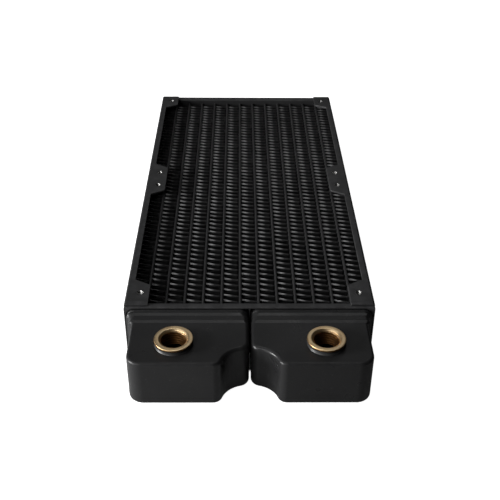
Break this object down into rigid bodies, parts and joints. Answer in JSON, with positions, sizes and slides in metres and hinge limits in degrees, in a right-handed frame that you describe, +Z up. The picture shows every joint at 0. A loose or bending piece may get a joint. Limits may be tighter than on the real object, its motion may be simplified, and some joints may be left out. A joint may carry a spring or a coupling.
{
  "type": "liquid cooling radiator",
  "caption": "Flat liquid cooling radiator for two fans in line: a fin and tube core in a black frame, two front tanks with brass threaded ports, one rear tank.",
  "frame": {"origin": "middle of the bottom face of the whole part's bounding box", "axes": "+Z up out of the fan face that carries the ports' mouths; +Y along the core, away from the ports; +X to the right seen from the port end"},
  "size_m": [0.119, 0.2942, 0.03],
  "materials": {
    "frame_paint": "satin black powder coat",
    "core_paint": "thin satin black paint",
    "fin_paint": "thin satin black paint on bare sheet",
    "port_brass": "turned, bare"
  },
  "bodies": {
    "root": {"left_side_rail": "frame_paint", "right_side_rail": "frame_paint", "front_header_pan": "frame_paint", "rear_header_pan": "frame_paint", "inlet_tank": "frame_paint", "outlet_tank": "frame_paint", "return_tank": "frame_paint", "flat_tube_01": "core_paint", "flat_tube_02": "core_paint", "flat_tube_03": "core_paint", "flat_tube_04": "core_paint", "flat_tube_05": "core_paint", "flat_tube_06": "core_paint", "flat_tube_07": "core_paint", "flat_tube_08": "core_paint", "flat_tube_09": "core_paint", "flat_tube_10": "core_paint", "flat_tube_11": "core_paint", "flat_tube_12": "core_paint", "left_side_plate": "core_paint", "right_side_plate": "core_paint", "fin_strip_01": "fin_paint", "fin_strip_02": "fin_paint", "fin_strip_03": "fin_paint", "fin_strip_04": "fin_paint", "fin_strip_05": "fin_paint", "fin_strip_06": "fin_paint", "fin_strip_07": "fin_paint", "fin_strip_08": "fin_paint", "fin_strip_09": "fin_paint", "fin_strip_10": "fin_paint", "fin_strip_11": "fin_paint", "fin_strip_12": "fin_paint", "fin_strip_13": "fin_paint", "inlet_port": "port_brass", "outlet_port": "port_brass"}
  },
  "joints": []
}
